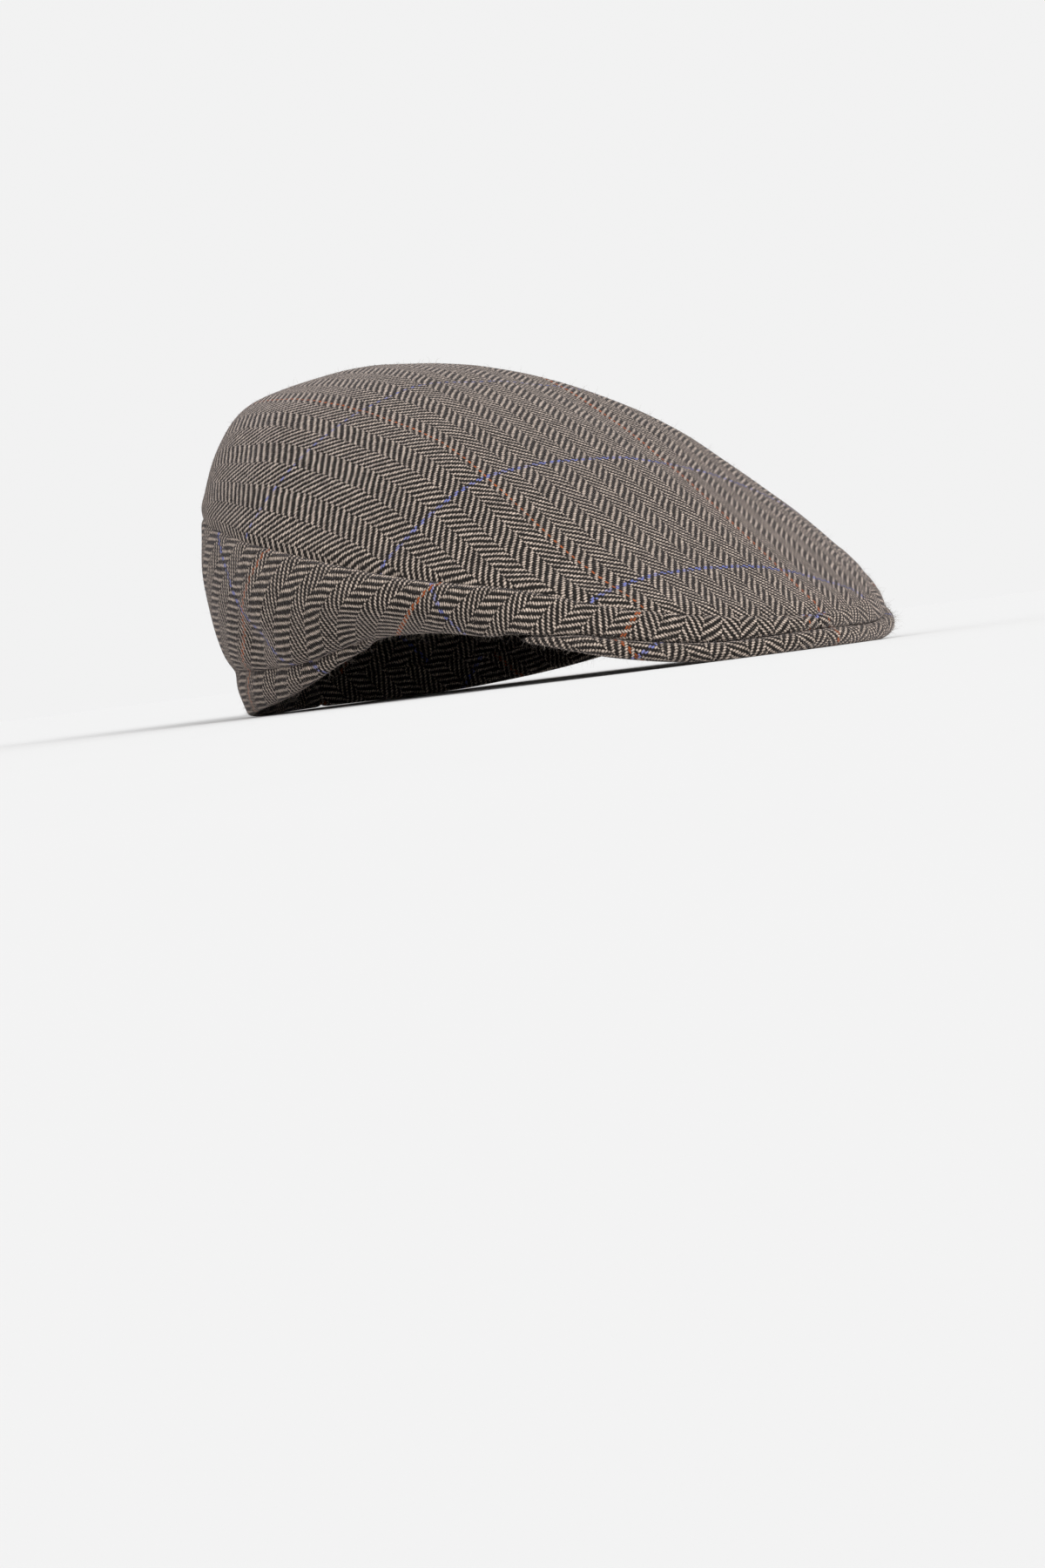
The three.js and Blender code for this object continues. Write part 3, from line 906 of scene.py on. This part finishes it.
print("dyeing the tweed")
weaveGroup = tweedGroup()
topTweed = tweedMaterial("tweed top", weaveGroup, checkLines["top"])
sideTweed = tweedMaterial("tweed side", weaveGroup, checkLines["side"])
peakTweed = tweedMaterial("tweed peak", weaveGroup, checkLines["peak"])
topPiece.data.materials.append(topTweed)
for piece in sidePieces:
    piece.data.materials.append(sideTweed)
peakPiece.data.materials.append(peakTweed)

print("adding loose hairs")
peakNormals = gridNormals(peakPoints)
if peakNormals[peak["stations"] // 2, peak["faceRows"] - 1, 1] > 0:
    peakNormals = -peakNormals
lastWall = sidePanel["wallRows"]
looseHairs = makeFuzz([
    {"points": topPoints, "normals": topNormals, "count": 42, "edges": [1], "edgeShare": 0.0,
     "outerRows": topPanel["cells"] - 1, "signs": [1]},
    {"points": sidePoints, "normals": sideNormals, "count": 40,
     "edges": list(range(lastWall - 3, lastWall + 5)), "edgeShare": 0.5,
     "outerRows": lastWall, "signs": [1, -1]},
    {"points": peakPoints, "normals": peakNormals, "count": 14,
     "edges": list(range(peak["faceRows"] - 8, peak["faceRows"] + 8)), "edgeShare": 1.0,
     "outerRows": peak["faceRows"], "signs": [1]},
])
looseHairs.data.materials.append(hairMaterial())

replaced = {"topPanelCloth": "top_panel", "sidePanelLeftCloth": "side_panel_left",
            "sidePanelRightCloth": "side_panel_right", "peakCloth": "peak"}
for piece in [topPiece, *sidePieces, peakPiece]:
    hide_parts(replaced[piece.name])
for piece in [topPiece, *sidePieces, peakPiece, looseHairs]:
    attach(piece, "root")


# Floor, light and camera.
studio = {
    "floor": 0.801,
    "horizon": 0.887,
    "above": 0.76,
    "grain": 0.004,
    "radius": 40,
    "riseFrom": 0.35,
    "riseRate": 1.8,
    "keyStrength": 1.85,
    "keyAngle": 40.0,
    "keyFrom": (-0.25, -1.2, 0.75),
}


def grey(tone):
    return (tone, tone, tone, 1)


def makeStudio():
    deselectAll()
    bpy.ops.mesh.primitive_circle_add(
        vertices=96, radius=studio["radius"], fill_type="NGON", location=(0, 0, 0)
    )
    floor = bpy.context.object
    floor.name = "studioFloor"
    material = bpy.data.materials.new("pale floor")
    material.use_nodes = True
    w = Wiring(material.node_tree)
    shader = material.node_tree.nodes["Principled BSDF"]
    place = w.put("ShaderNodeTexCoord")
    grain = w.noise(place.outputs["Object"], 9.0, 2.0)
    darker, lighter = studio["floor"] - studio["grain"], studio["floor"] + studio["grain"]
    w.join(w.mix(grain, grey(darker), grey(lighter)), shader.inputs["Base Color"])
    shader.inputs["Roughness"].default_value = 1.0
    shader.inputs["Specular IOR Level"].default_value = 0.0
    floor.data.materials.append(material)

    world = bpy.data.worlds.new("studio")
    bpy.context.scene.world = world
    world.use_nodes = True
    w = Wiring(world.node_tree)
    background = world.node_tree.nodes["Background"]
    place = w.put("ShaderNodeTexCoord")
    split = w.put("ShaderNodeSeparateXYZ")
    w.join(place.outputs["Generated"], split.inputs[0])
    rise = w.math("SUBTRACT", split.outputs[2], studio["riseFrom"])
    rise = w.math("MULTIPLY", rise, studio["riseRate"], True)
    w.join(w.mix(rise, grey(studio["horizon"]), grey(studio["above"])), background.inputs["Color"])

    bpy.ops.object.light_add(type="SUN", location=(-1, -1, 2))
    key = bpy.context.object
    key.name = "keyLight"
    key.data.energy = studio["keyStrength"]
    key.data.angle = math.radians(studio["keyAngle"])
    key.rotation_euler = Vector(studio["keyFrom"]).to_track_quat("Z", "Y").to_euler()


# The camera stands at the photograph's angle, a little above the floor.
view = {
    "azimuth": 47.0,
    "elevation": -0.573,
    "roll": 7.2,
    "distance": 1.4,
    "pixelsPerMetre": 3221.0,
    "targetPixel": (594.5, 707.2),
    "target": (0.0, 0.0148, 0.024),
    "picture": (1200, 1800),
}


def makeCamera():
    azimuth, elevation, roll = (math.radians(view[k]) for k in ("azimuth", "elevation", "roll"))
    back = Vector((-math.sin(azimuth) * math.cos(elevation), -math.cos(azimuth) * math.cos(elevation),
                   math.sin(elevation)))
    level = Vector((math.cos(azimuth), -math.sin(azimuth), 0))
    upright = back.cross(level)
    right = level * math.cos(roll) - upright * math.sin(roll)
    up = upright * math.cos(roll) + level * math.sin(roll)
    target = Vector(view["target"]) + Vector((0, formShift, 0))
    place = target + back * view["distance"]
    focal = view["pixelsPerMetre"] * view["distance"]
    offX = (view["targetPixel"][0] - view["picture"][0] / 2) / focal
    offY = (view["picture"][1] / 2 - view["targetPixel"][1]) / focal
    ahead = (-back - right * offX - up * offY).normalized()
    up = (up - ahead * up.dot(ahead)).normalized()
    right = ahead.cross(up)
    data = bpy.data.cameras.new("camera")
    camera = bpy.data.objects.new("camera", data)
    bpy.context.scene.collection.objects.link(camera)
    camera.matrix_world = Matrix((
        (right.x, up.x, -ahead.x, place.x),
        (right.y, up.y, -ahead.y, place.y),
        (right.z, up.z, -ahead.z, place.z),
        (0, 0, 0, 1),
    ))
    data.sensor_fit = "VERTICAL"
    data.sensor_height = 36
    data.lens = focal * data.sensor_height / view["picture"][1]
    data.clip_start = 0.02
    data.clip_end = 100
    bpy.context.scene.camera = camera
    bpy.context.scene.view_settings.view_transform = "Standard"


print("setting the studio")
makeStudio()
makeCamera()
